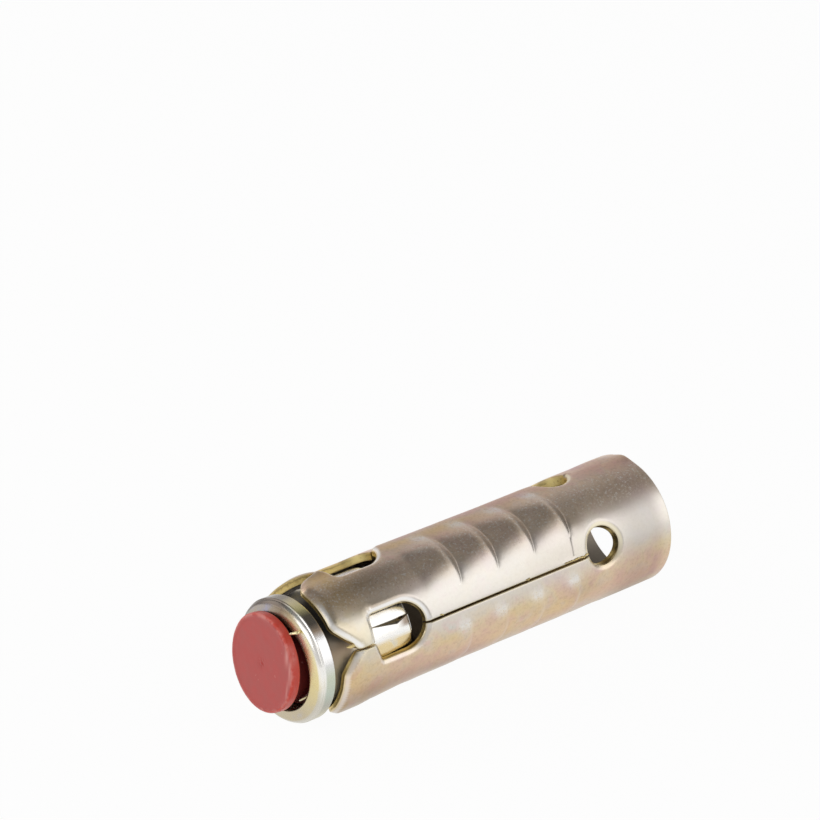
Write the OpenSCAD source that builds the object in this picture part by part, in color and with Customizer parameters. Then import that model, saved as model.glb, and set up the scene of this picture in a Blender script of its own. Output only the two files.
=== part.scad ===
// Steel expansion plug for a 16 mm hole in a wall. A sleeve rolled from sheet
// has four legs with pressed barbs. A cone nut sits between the tips of the
// legs and spreads them when a bolt pulls it in. A plastic plug closes the
// nut's outer end. The plug lies on its side as it comes to rest.
// The origin is the middle of the sleeve's mouth. +X points out of the wall,
// along the axis, and +Z is up.

/* [Lying position] */
// Height of the front slit above the horizontal, as an angle about the axis
roll = 15; // [0:1:17]

/* [Sleeve] */
// Outside diameter of the sleeve, which is the drill hole's
sleeve_d = 16; // [15:0.5:18]
// Thickness of the sheet
sheet_t = 1; // [0.8:0.1:1.2]
// Length of the sleeve from its mouth to the tips of its legs
sleeve_l = 52.5; // [50:0.5:56]
// Radius of the rounded outer edge at the mouth
mouth_round = 0.3; // [0.1:0.1:0.6]
// How much smaller in radius the sleeve is half way along
waist = 0.1; // [0:0.05:0.2]
// How far the tips of the legs stand out
tip_flare = 0.15; // [0:0.05:0.3]

/* [Slits and seam] */
// Width of the slits between the legs
slit_w = 0.3; // [0.2:0.05:0.6]
// Width of the gap where the two edges of the rolled sheet meet
seam_w = 0.15; // [0.1:0.05:0.3]
// Which of the four slits the seam runs through, counted from the front one
seam_slit = 2; // [0:1:3]

/* [Round holes] */
// Diameter of the holes at which the slits end
hole_d = 5; // [4:0.1:5.4]
// Distance from the mouth to the middle of the holes
hole_depth = 10.9; // [10:0.1:12]
// How far round from their slits the holes are punched, in degrees
hole_shift = 3.5; // [0:0.5:5]

/* [Windows] */
// Width of the windows, as seen from straight ahead
window_w = 5.9; // [5:0.1:6.4]
// Length of the windows, from the square end to the top of the round end
window_l = 7.5; // [6.5:0.1:8]
// Distance from the mouth to the square end of the windows
window_depth = 46.5; // [45:0.1:47]
// Radius of the corners at the square end
window_corner = 0.5; // [0.2:0.1:1]
// How far round from its slit each window is punched, in degrees
window_shift = [3.4, 0, 2, 3];

/* [Leg tips] */
// Depth of the notch that opens each slit at the tips
notch_depth = 2.9; // [1:0.1:4]
// Width of the notch at the tips
notch_w = 7.4; // [4:0.1:8]

/* [Barbs] */
// Number of barbs along each leg
barb_count = 4; // [2:1:4]
// Distance from the mouth to the lip of the first barb
barb_depth = 15.4; // [15:0.1:16]
// Distance from one lip to the next
barb_pitch = 5.75; // [5.2:0.05:5.8]
// Height of a lip above the sleeve
barb_rise = 0.45; // [0.2:0.05:0.6]
// Half of the angle about the axis that a barb takes up
barb_spread = 28; // [24:1:30]
// Radius of a lip's curve, seen from straight ahead
barb_bow = 8; // [6:0.5:12]

/* [Cone nut] */
// Radius of the collar, which stays outside the sleeve
collar_r = 7.35; // [7.3:0.05:7.8]
// Length of the collar
collar_l = 2.4; // [1.5:0.1:4]
// Width of the rounding on the collar's outer edge
collar_round = 0.6; // [0.2:0.1:1]
// Radius of the cone next to the collar
cone_wide_r = 6.9; // [6.7:0.05:6.95]
// Radius of the cone at its small end
cone_narrow_r = 5.9; // [5.6:0.05:6.2]
// Length of the cone
cone_l = 12.2; // [10:0.1:14]
// Width of the ribs that keep the nut from turning
rib_w = 1.5; // [1:0.1:1.7]
// How far round from the slits the ribs stand, in degrees
rib_shift = 6; // [0:1:8]
// Radius of the threaded bore at the crests of its thread
thread_r = 4.25; // [3.3:0.05:4.3]
// Radius of the plain recess for the dust plug
recess_r = 5.3; // [5:0.05:5.5]
// Depth of the plain recess for the dust plug
recess_l = 3.4; // [3:0.1:4]
// Width of the bevels at the ends of the bore
bevel = 0.6; // [0.3:0.1:0.8]

/* [Dust plug] */
// Radius of the disc
disc_r = 5.85; // [5.5:0.05:6.5]
// Thickness of the disc
disc_t = 1.4; // [1:0.1:2]
// Radius of the disc's rounded edges
disc_round = 0.35; // [0.1:0.05:0.6]
// Distance from the nut's face to the middle of the disc's back
disc_gap = 0.95; // [0.9:0.05:1.5]
// How far the disc leans back at its top, in degrees
disc_lean = 8; // [0:1:8]
// Radius of the stem behind the disc
stem_r = 4.8; // [4:0.1:4.9]
// Thickness of the stem's wall
stem_t = 1; // [0.8:0.1:1.5]
// Length of the sealing bead on the stem
bead_l = 1; // [0.6:0.1:1.4]

/* [Hidden] */
$fn = 96;
sleeve_r = sleeve_d / 2;
bore_r = sleeve_r - sheet_t;
slit_angles = [for (k = [0:3]) 90 * k];
waist_start = 9;
waist_end = 44;
flare_start = 46;
waist_steps = 14;
arc_steps = 6;
// A cut that starts at the axis and ends well outside the sleeve
reach = 2 * sleeve_r;
over = 1;
nut_face = sleeve_l + collar_l;
nut_end = sleeve_l - cone_l;
rib_r = bore_r - 0.05;
// A barb is turned about an axis of its own, which lies beside the sleeve's.
// The circle of this radius about it passes through the barb's two sides, at
// the sleeve's radius, and through the middle of its lip.
barb_reach = sleeve_r + barb_rise;
barb_axis = (barb_reach * barb_reach - sleeve_r * sleeve_r)
    / (2 * (barb_reach - sleeve_r * cos(barb_spread)));
barb_r = barb_reach - barb_axis;
barb_foot_r = sleeve_r - barb_axis;

// Points of a quarter circle about c, from angle a to angle a + 90
function corner(c, r, a) =
    [for (k = [0:arc_steps]) c + r * [cos(a + 90 * k / arc_steps), sin(a + 90 * k / arc_steps)]];

// Change in the sleeve's radius at depth z below the mouth
function bow(z) = z <= waist_start || z >= waist_end ? 0
    : -waist * pow(sin(180 * (z - waist_start) / (waist_end - waist_start)), 2);

// Everything is built with the mouth at z = 0, the nut up the z axis and the
// front slit on the x axis, and then laid down
module lay_down() {
    rotate([0, -90, 0]) rotate([0, 0, roll - 90]) children();
}

// Turns an outline, drawn as width and depth, to face out along the x axis
module face_out(from_r) {
    translate([from_r, 0, 0]) rotate([90, 0, 90]) linear_extrude(reach) children();
}

// Outline of the tube from its mouth to the tips, at a distance from its axis
function wall_line(r) = concat(
    [[r, waist_start]],
    [for (k = [1:waist_steps])
        let (z = waist_start + (waist_end - waist_start) * k / waist_steps) [r + bow(z), z]],
    [[r, flare_start], [r + tip_flare, sleeve_l]]);

module tube() {
    inner = wall_line(bore_r);
    outer_mouth = [for (p = corner([sleeve_r - mouth_round, mouth_round], mouth_round, -90)) p];
    rotate_extrude() polygon(concat(
        [[bore_r, 0]],
        outer_mouth,
        wall_line(sleeve_r),
        [for (k = [len(inner) - 1:-1:0]) inner[k]]));
}

// One barb, pressed out of the leg. drop makes the hollow behind it, which
// lies deeper by that much in radius and starts that much behind the lip.
module barb(lip, drop) {
    tail = barb_pitch - 0.4;
    core_r = barb_foot_r - sheet_t / 2 - drop;
    ramp = [for (k = [0:arc_steps])
        let (u = k / arc_steps)
        [barb_r - drop - (barb_rise + 0.1) * u * u, lip + drop / 2 + tail * u]];
    intersection() {
        translate([barb_axis, 0, 0]) rotate_extrude() polygon(concat(
            [[core_r, lip + drop / 2]],
            ramp,
            [[core_r, lip + drop / 2 + tail]]));
        translate([0, 0, lip + drop / 2 + barb_bow]) rotate([0, 90, 0]) cylinder(r = barb_bow, h = reach);
    }
}

module barbs(drop) {
    for (a = slit_angles)
        for (k = [0:barb_count - 1])
            rotate([0, 0, a + 45]) barb(barb_depth + barb_pitch * k, drop);
}

// Square at the depth end and half round at the end towards the mouth
module window_outline() {
    half = window_w / 2;
    straight = window_l - half;
    polygon(concat(
        [for (k = [0:4 * arc_steps])
            let (a = 180 + 180 * k / (4 * arc_steps))
            [half * cos(a), window_depth - straight + half * sin(a)]],
        corner([half - window_corner, window_depth - window_corner], window_corner, 0),
        corner([window_corner - half, window_depth - window_corner], window_corner, 90)));
}

module notch_outline() {
    polygon([
        [0, sleeve_l - notch_depth],
        [notch_w / 2 * 0.72, sleeve_l - notch_depth * 0.16],
        [notch_w / 2, sleeve_l + 0.01],
        [notch_w / 2, sleeve_l + over],
        [-notch_w / 2, sleeve_l + over],
        [-notch_w / 2, sleeve_l + 0.01],
        [-notch_w / 2 * 0.72, sleeve_l - notch_depth * 0.16]]);
}

module slit(from_depth, width) {
    translate([0, -width / 2, from_depth]) cube([reach, width, sleeve_l - from_depth + over]);
}

// One blank of sheet, punched and embossed flat and then rolled to a tube
module expansion_sleeve() {
    color("darkkhaki") lay_down() difference() {
        union() {
            tube();
            difference() {
                barbs(0);
                translate([0, 0, waist_start]) cylinder(r = bore_r, h = waist_end - waist_start);
            }
        }
        barbs(sheet_t * 0.75);
        for (k = [0:3]) rotate([0, 0, slit_angles[k]]) {
            slit(hole_depth, slit_w);
            face_out(0) notch_outline();
            rotate([0, 0, window_shift[k]]) face_out(0) window_outline();
            rotate([0, 0, hole_shift]) translate([0, 0, hole_depth])
                rotate([0, 90, 0]) cylinder(d = hole_d, h = reach);
        }
        rotate([0, 0, slit_angles[seam_slit]]) slit(-over, seam_w);
    }
}

// Forged and turned: a collar, and a cone with four ribs along it
module cone_nut() {
    color("tan") lay_down() difference() {
        union() {
            rotate_extrude() polygon(concat(
                [[0, nut_end], [cone_narrow_r - 0.4, nut_end], [cone_narrow_r, nut_end + 0.4]],
                [[cone_wide_r, sleeve_l], [collar_r, sleeve_l]],
                corner([collar_r - collar_round, nut_face - collar_round], collar_round, 0),
                [[0, nut_face]]));
            intersection() {
                for (a = slit_angles) rotate([0, 0, a + rib_shift])
                    translate([cone_narrow_r - 1, -rib_w / 2, nut_end])
                        cube([reach, rib_w, sleeve_l - nut_end]);
                rotate_extrude() polygon([
                    [0, nut_end], [rib_r - 0.6, nut_end], [rib_r, nut_end + 0.5],
                    [rib_r, sleeve_l], [0, sleeve_l]]);
            }
        }
        rotate_extrude() polygon([
            [0, nut_end - over], [thread_r + bevel, nut_end - over],
            [thread_r + bevel, nut_end], [thread_r, nut_end + bevel],
            [thread_r, nut_face - recess_l - bevel], [recess_r, nut_face - recess_l],
            [recess_r, nut_face - bevel], [recess_r + bevel, nut_face],
            [recess_r + bevel, nut_face + over], [0, nut_face + over]]);
    }
}

// Moulded in one piece: a disc, and a hollow stem with a bead that grips the
// nut's recess. The disc leans, because it was pressed in by hand.
module dust_plug() {
    back = nut_face + disc_gap;
    bead_top = nut_face - bevel - 0.4;
    stem_end = nut_face - recess_l + 0.4;
    color("indianred") lay_down() {
        translate([0, 0, back]) rotate([0, 0, 90 - roll]) rotate([0, disc_lean, 0])
            rotate_extrude() polygon(concat(
                [[0, 0]],
                corner([disc_r - disc_round, disc_round], disc_round, -90),
                corner([disc_r - disc_round, disc_t - disc_round], disc_round, 0),
                [[0, disc_t]]));
        rotate_extrude() polygon([
            [stem_r - stem_t, stem_end], [stem_r, stem_end],
            [stem_r, bead_top - bead_l], [recess_r, bead_top - bead_l * 0.7],
            [recess_r, bead_top - bead_l * 0.3], [stem_r, bead_top],
            [stem_r, back + disc_t / 2], [stem_r - stem_t, back + disc_t / 2]]);
    }
}

expansion_sleeve();
cone_nut();
dust_plug();
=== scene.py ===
# %% [markdown]
# Steel wall plug, an expansion plug for masonry.
# A bolt pulls the cone nut into the slotted sleeve, whose four legs then press
# against the drill hole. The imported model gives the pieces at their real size.
# This file dresses them: it builds each piece again as a fine surface, at the
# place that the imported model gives, and adds the finishes, light and camera.

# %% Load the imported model
import math

import bmesh
import bpy
import numpy as np
from mathutils import Matrix, Vector
from mathutils.geometry import delaunay_2d_cdt


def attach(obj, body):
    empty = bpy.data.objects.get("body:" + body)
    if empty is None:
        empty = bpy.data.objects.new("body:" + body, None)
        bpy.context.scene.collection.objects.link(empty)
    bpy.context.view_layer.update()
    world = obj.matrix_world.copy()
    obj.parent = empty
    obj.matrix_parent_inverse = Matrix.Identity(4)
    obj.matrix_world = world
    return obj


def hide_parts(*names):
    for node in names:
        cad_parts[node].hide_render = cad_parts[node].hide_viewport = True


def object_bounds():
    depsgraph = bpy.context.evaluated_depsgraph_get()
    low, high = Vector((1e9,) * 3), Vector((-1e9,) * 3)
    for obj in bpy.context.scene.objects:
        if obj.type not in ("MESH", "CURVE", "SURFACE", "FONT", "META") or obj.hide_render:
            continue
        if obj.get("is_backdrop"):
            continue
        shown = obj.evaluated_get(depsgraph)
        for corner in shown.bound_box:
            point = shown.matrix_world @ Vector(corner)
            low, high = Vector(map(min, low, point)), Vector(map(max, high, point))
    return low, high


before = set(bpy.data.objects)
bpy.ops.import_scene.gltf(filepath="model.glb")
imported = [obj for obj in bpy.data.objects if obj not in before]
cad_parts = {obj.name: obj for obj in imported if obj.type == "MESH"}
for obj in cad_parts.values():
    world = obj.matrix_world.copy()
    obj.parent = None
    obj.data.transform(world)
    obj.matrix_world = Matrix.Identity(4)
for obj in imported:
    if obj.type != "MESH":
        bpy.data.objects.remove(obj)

cad_low, cad_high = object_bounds()
MM = 0.001
print("pieces:", sorted(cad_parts), "size in mm:", [round(v / MM, 2) for v in cad_high - cad_low])

# %% [markdown]
# Where things are on the plug.
# On the real plug everything is placed by two numbers: how deep it lies below
# the mouth, and how far round the tube from the front slit. The same two
# numbers are used here, with the distance from the axis as the third. It
# would also work to model in x, y and z, but every hole, barb and slit would
# then need its own sums.

# %% Places on the plug
ROLL = 15.0        # height of the front slit above the horizontal, in degrees
SLEEVE_R = 8.0     # outside radius of the sleeve, in mm, as are all sizes here
SLEEVE_L = 52.5
SHEET = 1.0        # thickness of the sheet
WAY = math.radians(SLEEVE_R)   # mm round the tube for each degree


def lay(turn, depth, radius):
    """Points in the shared frame, in metres. x is minus the depth, and y and z
    are the radius times the cosine and sine of half a turn less ROLL and turn."""
    angle = np.radians(180.0 - ROLL - turn)
    x, y, z = np.broadcast_arrays(-depth, radius * np.cos(angle), radius * np.sin(angle))
    return np.stack([x, y, z], -1) * MM


def smooth(low, high, x):
    """Rises from 0 at low to 1 at high as 3 t squared less 2 t cubed."""
    t = np.clip((x - low) / (high - low), 0.0, 1.0)
    return t * t * (3.0 - 2.0 * t)


def band(low, high, start, end, x):
    """Rises from 0 at low to 1 at high, stays, and falls from start to end."""
    return smooth(low, high, x) * (1 - smooth(start, end, x))


def bell(*offsets):
    """1 where every offset is 0, then e to the minus sum of their squares."""
    return np.exp(-sum(offset ** 2 for offset in offsets))


print("the front slit lies at", lay(0.0, 30.0, SLEEVE_R).round(4))

# %% Waves for small unevenness
def ripple(x, y, size, seed, count=7):
    """A sum of sine waves of random heading, length near size, and phase,
    scaled to stay between about -1 and 1."""
    rng = np.random.default_rng(seed)
    heading = rng.uniform(0, 2 * math.pi, count)
    length = size * rng.uniform(0.7, 1.6, count)
    phase = rng.uniform(0, 2 * math.pi, count)
    total = 0.0
    for k in range(count):
        along = x * math.cos(heading[k]) + y * math.sin(heading[k])
        total = total + np.sin(2 * math.pi * along / length[k] + phase[k])
    return total / math.sqrt(count) / 1.6


# %% Put a surface into a mesh
def add_object(name, data):
    """Puts a mesh, lamp or camera into the scene."""
    thing = bpy.data.objects.new(name, data)
    bpy.context.scene.collection.objects.link(thing)
    return thing


def make_piece(name, points, faces, sizes, values, sharp=50.0):
    """One mesh object at the origin, from points in metres and lists of corner
    numbers. sizes counts the points of each part but the last. values holds,
    under each name, what each part's points get, and parts left out get 0."""
    mesh = bpy.data.meshes.new(name)
    mesh.from_pydata(np.asarray(points).tolist(), [], faces)
    mesh.shade_smooth()
    mesh.set_sharp_from_angle(angle=math.radians(sharp))
    starts = np.cumsum([0, *sizes, len(points) - sum(sizes)])
    for key, parts in values.items():
        numbers = np.zeros(len(points), np.float32)
        for part, start, end in zip(parts, starts, starts[1:]):
            numbers[start:end] = part
        mesh.attributes.new(key, "FLOAT", "POINT").data.foreach_set("value", numbers)
    print(name, "has", len(points), "points and", sum(len(f) - 2 for f in faces), "triangles")
    return add_object(name, mesh)


def quads(rows, columns, wrap_rows=False):
    """Corner numbers of the faces of a grid whose last column joins its first.
    The point in row r and column c is number r * columns + c. Wrapped rows are
    joined in the same way."""
    r = np.arange(rows if wrap_rows else rows - 1)[:, None]
    c = np.arange(columns)[None, :]
    r2, c2 = (r + 1) % rows, (c + 1) % columns
    corners = [r * columns + c, r * columns + c2, r2 * columns + c2, r2 * columns + c]
    return np.stack([k.ravel() for k in np.broadcast_arrays(*corners)], 1).tolist()


def closed_tube(rows, sides):
    """Faces of a tube of rings with a fan of triangles at each end. The two
    points in the fans' middles come after the rings."""
    count = rows * sides
    ring = np.arange(sides)
    after_it = (ring + 1) % sides
    first = np.stack([np.full(sides, count), after_it, ring], 1)
    last = np.stack([count - sides + ring, count - sides + after_it, np.full(sides, count + 1)], 1)
    return quads(rows, sides) + first.tolist() + last.tolist()


def spaced(points, step):
    """Points at equal distances along a line. The running length is cut into
    equal parts no longer than step, and both coordinates are read off there."""
    points = np.asarray(points, float)
    run = np.concatenate([[0.0], np.cumsum(np.hypot(*np.diff(points, axis=0).T))])
    at = np.linspace(0.0, run[-1], max(2, int(np.ceil(run[-1] / step)) + 1))
    return np.stack([np.interp(at, run, points[:, k]) for k in (0, 1)], 1)


def arc(centre, radius, start, end, step=0.14):
    """Points on a circle from one angle to another, in degrees, where the
    angle 90 points along the second coordinate."""
    count = max(3, int(abs(math.radians(end - start)) * radius / step) + 1)
    a = np.radians(np.linspace(start, end, count))
    return np.stack([centre[0] + radius * np.cos(a), centre[1] + radius * np.sin(a)], 1)


print("a quarter circle of radius 1 takes", len(arc((0, 0), 1, 0, 90)), "points")

# %% [markdown]
# The sleeve's blank.
# The real sleeve starts as a flat piece of sheet steel. A press cuts the
# windows, round holes, slits and notches, embosses the barbs, and rolls the
# blank to a tube, whose edges meet at the back. The mesh is made the same
# way: the flat outline is worked out first, points are spread over it, closer
# together near the cut edges, and a triangulation that keeps to the outline
# joins them. Cutting a tube with Boolean modifiers would be shorter, but it
# leaves no points along the edges to round them over.

# %% Cuts of the blank
SLIT_W, SEAM_W = 0.26, 0.15    # width of a slit and of the seam
HOLE_R, HOLE_DEPTH = 2.5, 10.9
WINDOW_HALF, WINDOW_ROUND_DEPTH = 2.95, 41.95   # half its width, and the round end's middle
# Where the slits are, in degrees round from the front one. The top one lies
# a little past the quarter turn.
SLIT_PLACE = [0.0, 91.8, 180.0, -90.0]
# How far round from its slit each hole and window is punched, in degrees
HOLE_SHIFT = [3.5, 2.1, 3.5, 3.5]
WINDOW_SHIFT = [3.4, 0.2, 2.0, 3.0]
# Depth of a window's square end at the slit and at the corner, and the size
# of the corner. On the front and top windows each leg has its own, because the
# legs were bent a little.
WINDOW_END = {(0, 1): (46.7, 46.6, 0.85), (0, -1): (46.6, 45.95, 0.5), (1, -1): (47.1, 46.6, 0.5),
              (1, 1): (46.8, 46.5, 0.5)}
PLAIN_END = (46.5, 46.5, 0.5)
# The notch at each leg's tip: degrees from the slit, and depth. The legs that
# don't have their own share the plain one.
NOTCH = {
    (0, 1): [(0, 49.1), (7.5, 49.9), (10.2, 50.25), (16, 51.05), (22.3, 51.82), (26.5, 52.08),
             (34, 52.05)],
    (0, -1): [(0, 49.45), (3.7, 49.95), (9.3, 50.65), (15.1, 51.25), (18.3, 51.48), (24, 51.52),
              (34, 51.46), (45, 51.45)],
    (1, -1): [(0, 48.15), (1.5, 48.68), (6, 49.85), (12, 50.8), (18, 51.55), (24, 51.97),
              (30, 52.05), (40, 52.05)],
    (1, 1): [(0, 47.6), (4, 48.1), (10, 48.8), (17, 49.35), (28, 50.15), (38, 50.65),
             (46, 51.2), (52, 51.5)],
    (2, -1): [(0, 49.6), (7.4, 50.4), (14, 51), (21.5, 51.42), (28, 51.5), (34, 51.5)],
    (3, 1): [(0, 49), (8, 49.9), (16, 50.7), (24, 51.2), (32, 51.43), (40, 51.45)],
}
PLAIN_NOTCH = [(0, 49.6), (7.4, 50.45), (14, 51.2), (21.5, 52.05), (27.5, 52.42), (34, 52.5)]


def ahead(points, shift):
    """Moves points drawn as seen from straight ahead onto the blank. The way
    round is the radius times the arc sine of the width over the radius."""
    points = np.asarray(points, float)
    way = SLEEVE_R * np.arcsin(points[:, 0] / SLEEVE_R) + WAY * shift
    return np.stack([way, points[:, 1]], 1)


def crossing(gap, shift):
    """Width, as seen from straight ahead of a cut, of an edge that lies gap
    mm round from the slit line."""
    return SLEEVE_R * math.sin(gap / SLEEVE_R - math.radians(shift))


def hole_angle(gap, line):
    """Angle on a round hole's edge at which the edge gap mm from its slit line
    meets it, in degrees."""
    return math.degrees(math.acos(crossing(gap, HOLE_SHIFT[line]) / HOLE_R))


def hole_depth(angle):
    """Depth of a point on a round hole's edge: the hole's middle plus its
    radius times the sine of the angle."""
    return HOLE_DEPTH + HOLE_R * math.sin(math.radians(angle))


def leg_edge(line, side):
    """One edge of a slit line, from the leg's tip to the round hole, as pairs
    of points and kind of cut. side is 1 where the turn is greater than the
    slit's, and -1 where it is less."""
    gap = side * SLIT_W / 2
    notch = np.array(NOTCH.get((line, side), PLAIN_NOTCH))[::-1] * [side * WAY, 1.0]
    notch[-1, 0] = gap
    near, far, corner = WINDOW_END.get((line, side), PLAIN_END)
    shift, width = WINDOW_SHIFT[line], side * WINDOW_HALF
    inner = crossing(gap, shift)
    bend = width - side * corner
    window = [
        [[inner, near], [bend, far]],
        arc((bend, far - corner), corner, 90, 90 - 90 * side),
        [[width, far - corner], [width, WINDOW_ROUND_DEPTH]],
        arc((0, WINDOW_ROUND_DEPTH), WINDOW_HALF, 90 * side - 90,
            -math.degrees(math.acos(inner / WINDOW_HALF))),
    ]
    window = np.concatenate([ahead(run, shift) for run in window])
    return [
        (notch, "tip"),
        ([notch[-1], [gap, near]], "slit"),
        (window, "window"),
        ([[gap, window[-1, 1]], [gap, hole_depth(hole_angle(gap, line))]], "slit"),
    ]


def hole_edge(line, start, end):
    """A round hole's edge between two angles, in degrees, on the blank."""
    return (ahead(arc((0, HOLE_DEPTH), HOLE_R, start, end), HOLE_SHIFT[line]), "hole")


print("the slit meets the round hole at", round(hole_angle(SLIT_W / 2, 0), 1), "degrees")

# %% Join the cuts to one outline
# Largest distance between the outline's points, in mm
STEP = {"mouth": 0.3, "seam": 0.35, "hole": 0.14, "slit": 0.35, "window": 0.16, "tip": 0.2}


def moved(runs, way):
    """The same runs, further round the blank by way mm."""
    return [(np.asarray(points, float) + [way, 0.0], kind) for points, kind in runs]


def turned_back(runs):
    """The same runs, from the last point to the first."""
    return [(np.asarray(points, float)[::-1], kind) for points, kind in runs[::-1]]


def slit_line(line):
    """Both edges of a slit line, and the round hole between them."""
    gap = SLIT_W / 2
    runs = leg_edge(line, 1) + [hole_edge(line, hole_angle(gap, line), hole_angle(-gap, line) - 360)]
    return moved(runs + turned_back(leg_edge(line, -1)), SLIT_PLACE[line] * WAY)


half_seam = SEAM_W / 2
seam_end = {s: -hole_angle(s * half_seam, 2) for s in (1, -1)}   # angles on the back hole
seam_depth = {s: hole_depth(angle) for s, angle in seam_end.items()}
runs = [([[half_seam - 180 * WAY, 0], [180 * WAY - half_seam, 0]], "mouth")]
runs += moved(
    [([[-half_seam, 0], [-half_seam, seam_depth[-1]]], "seam"),
     hole_edge(2, seam_end[-1], hole_angle(-SLIT_W / 2, 2) - 360)]
    + turned_back(leg_edge(2, -1)), 180 * WAY)
for line in (1, 0, 3):    # the top, front and lower slits
    runs += [None] + slit_line(line)
runs += [None] + moved(
    leg_edge(2, 1)
    + [hole_edge(2, hole_angle(SLIT_W / 2, 2), seam_end[1]),
       ([[half_seam, seam_depth[1]], [half_seam, 0]], "seam")], -180 * WAY)
for k, run in enumerate(runs):
    if run is None:   # the plain edge between two notches
        runs[k] = ([runs[k - 1][0][-1], runs[k + 1][0][0]], "tip")
cut = [(spaced(points, STEP[kind])[:-1], kind) for points, kind in runs]
outline = np.concatenate([points for points, kind in cut])
kinds = np.concatenate([[kind] * len(points) for points, kind in cut])
print("the outline has", len(outline), "points")

# %% Measure how far a point is from the cuts
after = np.roll(outline, -1, 0)


def in_parts(work, points, size=2000):
    """Does the work for some points at a time, to keep its tables small."""
    return np.concatenate([work(points[k:k + size, None]) for k in range(0, len(points), size)])


def to_edges(points, chosen=slice(None)):
    """Shortest distance from each point to the outline's edges, or the chosen
    ones. The foot of each point on each edge is clipped to the edge's ends."""
    starts = outline[chosen]
    step = after[chosen] - starts
    length = np.maximum((step ** 2).sum(1), 1e-12)

    def shortest(some):
        away = some - starts
        along = np.clip((away * step).sum(2) / length, 0.0, 1.0)
        foot = away - along[..., None] * step
        return np.sqrt((foot ** 2).sum(2).min(1))

    return in_parts(shortest, points)


def inside(points):
    """True where a line straight out from a point crosses the outline an odd
    number of times."""
    rise = np.where(after[:, 1] == outline[:, 1], 1.0, after[:, 1] - outline[:, 1])

    def odd(some):
        x, y = some[..., 0], some[..., 1]
        between = (outline[:, 1] > y) != (after[:, 1] > y)
        over = x < outline[:, 0] + (y - outline[:, 1]) / rise * (after[:, 0] - outline[:, 0])
        return (between & over).sum(1) % 2 == 1

    return in_parts(odd, points)


print("the mouth's middle is", to_edges(np.array([[0.0, 3.0]]))[0], "mm from a cut")

# %% [markdown]
# The barbs.
# Each leg has four barbs in a row, pressed out from inside so that they hold
# the sleeve in the hole. A barb is a soft bump like a roof shingle. It climbs
# from a crisp foot line on the mouth's side to a rounded crest, and then falls
# slowly towards the tip. As a height over the blank it needs no mesh of its
# own, and the sheet stays one piece, as it is on the real plug.

# %% Height of the barbs over the sheet
BARB_COUNT, BARB_PITCH = 4, 5.75
BARB_FOOT = 14.7       # depth of the first foot line at the middle of a barb
BARB_RISE = 0.45       # height of a crest
BARB_HALF = 31.0       # half of the angle that a barb takes up
BARB_MIDDLE = 49.5     # degrees from a slit to the middle of the barbs
BARB_BOW = 10.4        # radius of the foot line, seen from straight ahead
BARB_TAIL = 5.6        # length from the foot line to the end of the slow fall


def across_barb(turn):
    """Degrees from the middle of the nearest row of barbs."""
    return (turn - BARB_MIDDLE + 405.0) % 90.0 - 45.0


def foot_line(turn, row):
    """Depth of a barb's foot line, which is part of a circle."""
    x = SLEEVE_R * np.sin(np.radians(across_barb(turn)))
    return BARB_FOOT + BARB_PITCH * row + BARB_BOW - np.sqrt(BARB_BOW ** 2 - x ** 2)


def past_feet(turn, depth):
    """How far past each row's foot line a point lies, row by row."""
    return [depth - foot_line(turn, row) for row in range(BARB_COUNT)]


def barb_strength(turn):
    """1 at the middle of a barb and 0 past its sides, as a rounded hump. The
    barbs of the lower front leg are flatter."""
    u = across_barb(turn) / BARB_HALF
    leg = np.where((turn > -90) & (turn < 0), 0.6, 1.0)
    return leg * np.clip(1.0 - u * u, 0.0, 1.0) ** 1.5


def barbs(turn, depth):
    """Height of the barbs, and a mark that is 1 on their crests. Past the foot
    line the height climbs as the sine of a quarter turn, over a length that
    shrinks towards the sides, and falls as 1 less a power of the way back."""
    strength = barb_strength(turn)
    climb = 0.6 + 0.85 * strength
    height, crest = np.zeros_like(depth), np.zeros_like(depth)
    for past in past_feet(turn, depth):
        up = np.sin(np.clip(past / climb, 0.0, 1.0) * math.pi / 2) ** 1.4
        back = np.clip((past - climb) / (BARB_TAIL - climb), 0.0, 1.0)
        height = np.maximum(height, BARB_RISE * strength * up * (1.0 - back ** 1.7))
        on_barb = np.abs(across_barb(turn)) < BARB_HALF
        crest = np.maximum(crest, bell((past - 0.75 * climb) / 0.36) * on_barb)
    return height, crest


def sill_line(t):
    """Depth of the step beside the first crease, a straight line that slopes."""
    return 15.72 - 0.02 * (t + 37)


def press_marks(turn, depth):
    """Small marks that the tools leave beside the barbs: a crease that goes on
    from each foot line's lower end, a fleck in front of it, and the sharp line
    between the first crease and the slit."""
    t = across_barb(turn)
    total = np.zeros_like(depth)
    for past in past_feet(turn, depth):
        total = total - 0.05 * band(-31, -27, -17, -9, t) * bell((past - 0.05) / 0.16)
        total = total + 0.05 * bell((t + 20.5) / 1.3, (past + 0.55) / 0.16)
    sill = band(-46, -44, -28, -24, t)
    line = depth - sill_line(t)
    return total - 0.085 * sill * smooth(-0.1, 0.1, line) * (1 - smooth(0.3, 2.8, line))


def highlight_spots(turn, depth):
    """1 at the round spots of painted highlight beyond the upper end of each foot
    line, where the barbs' shoulders catch the light, fading as a bell."""
    across = (across_barb(turn) - 25.5) / 6.0
    return sum(bell(across, (past - 1.0) / 0.95) for past in past_feet(turn, depth))


def patches(turn, depth, places):
    """Sum of soft round patches, each a bell of the distance from its middle.
    A place is its depth and turn, half its size in each, and its strength."""
    total = np.zeros_like(depth)
    for deep, at, wide, high, strength in places:
        total = total + strength * bell((depth - deep) / wide, (turn - at) / high)
    return np.clip(total, 0.0, 1.0)
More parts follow.
